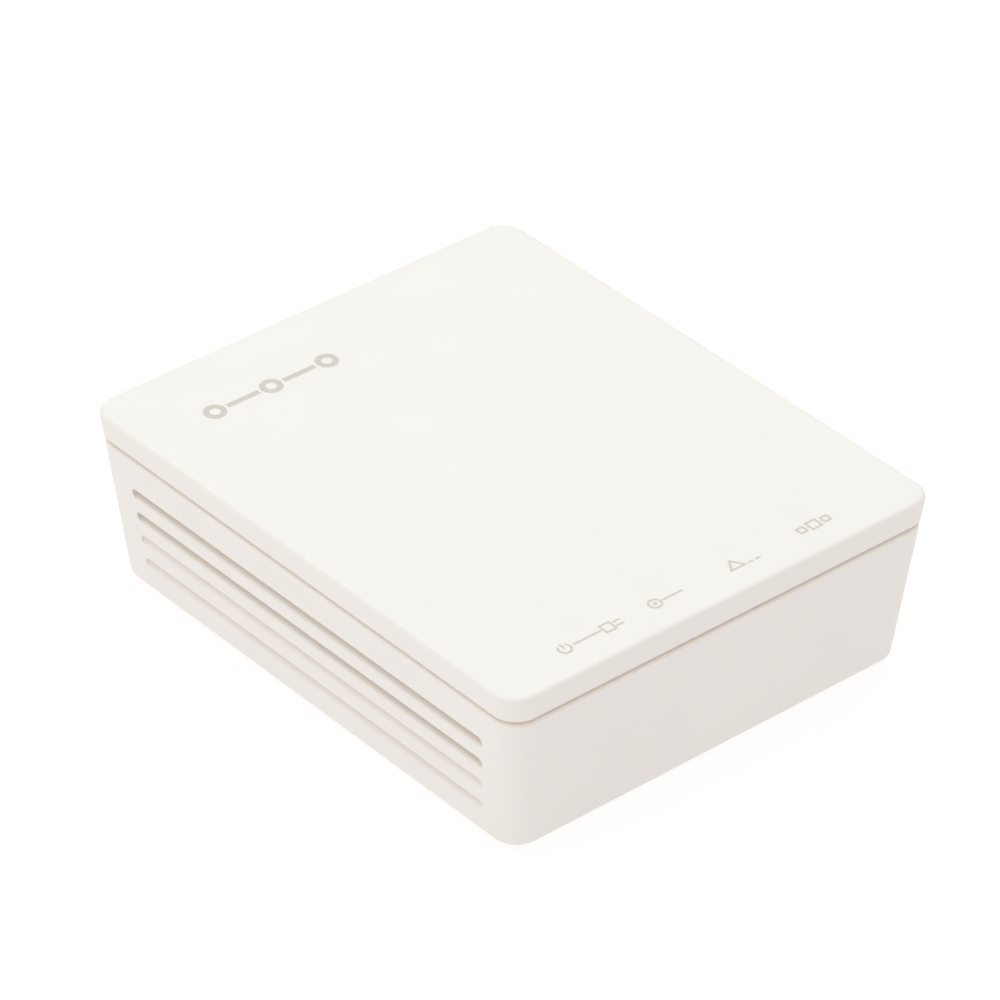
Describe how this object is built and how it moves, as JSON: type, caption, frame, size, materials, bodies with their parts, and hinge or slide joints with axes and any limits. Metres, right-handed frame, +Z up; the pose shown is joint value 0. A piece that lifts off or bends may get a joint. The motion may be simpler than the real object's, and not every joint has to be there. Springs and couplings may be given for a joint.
{
  "type": "optical network terminal",
  "caption": "Small flat white box that turns an optical fibre line into a wired network socket, with grooved sides, rear sockets and a power button.",
  "frame": {"origin": "middle of the box in width and depth, at the plane that its rubber feet stand on", "axes": "+X across the width, to the right as the front is faced, -Y out of the front, +Y out of the rear panel with the sockets, +Z up"},
  "size_m": [0.082, 0.098, 0.03],
  "materials": {
    "case_white": "fine moulded texture",
    "cover_white": "fine moulded texture",
    "label_film": "satin film",
    "foot_rubber": "matte",
    "board_laminate": "solder mask",
    "plated_steel": "zinc plated",
    "chip_black": "moulded",
    "pad_silicone": "soft",
    "sink_aluminium": "extruded",
    "can_steel": "pressed",
    "ferrite_grey": "sintered",
    "capacitor_can": "drawn",
    "tinned_lead": "tinned",
    "socket_black": "moulded",
    "gold_contact": "gold flash",
    "socket_blue": "moulded",
    "inner_white": "moulded",
    "sleeve_ceramic": "ground",
    "nickel_pin": "nickel plated",
    "button_grey": "moulded",
    "lamp_lens": "clear lens",
    "guide_clear": "clear"
  },
  "bodies": {
    "case": {"base_shell": "case_white", "top_cover": "cover_white", "rating_label": "label_film", "foot_front_left": "foot_rubber", "foot_front_right": "foot_rubber", "foot_rear_left": "foot_rubber", "foot_rear_right": "foot_rubber", "main_board": "board_laminate", "board_screws": "plated_steel", "processor": "chip_black", "thermal_pad": "pad_silicone", "heat_sink": "sink_aluminium", "memory_chip": "chip_black", "flash_chip": "chip_black", "crystal": "can_steel", "laser_driver": "chip_black", "shield_can": "can_steel", "line_transformer": "chip_black", "regulator": "chip_black", "power_inductor": "ferrite_grey", "input_capacitor": "capacitor_can", "output_capacitor": "capacitor_can", "chip_resistors": "chip_black", "chip_leads": "tinned_lead", "lan_socket": "socket_black", "lan_contacts": "gold_contact", "optical_housing": "socket_blue", "optical_latch": "inner_white", "optical_receptacle": "can_steel", "ferrule_sleeve": "sleeve_ceramic", "optics_block": "can_steel", "laser_can": "gold_contact", "detector_can": "gold_contact", "power_jack": "socket_black", "power_jack_pin": "nickel_pin", "power_jack_spring": "gold_contact", "power_switch": "socket_black", "reset_switch": "socket_black", "lamp_power": "lamp_lens", "lamp_line": "lamp_lens", "lamp_alarm": "lamp_lens", "lamp_network": "lamp_lens", "light_shroud": "socket_black", "light_guide": "guide_clear"},
    "power_button": {"power_button": "button_grey", "switch_plunger": "inner_white"},
    "reset_plunger": {"reset_plunger": "inner_white"}
  },
  "joints": [
    {"name": "power_button_slide", "type": "slide", "parent": "case", "child": "power_button", "axis": [0, -1, 0], "range_m": [0, 0.0022], "stiffness_N_per_m": 300},
    {"name": "reset_plunger_slide", "type": "slide", "parent": "case", "child": "reset_plunger", "axis": [0, -1, 0], "range_m": [0, 0.0003], "stiffness_N_per_m": 500}
  ]
}
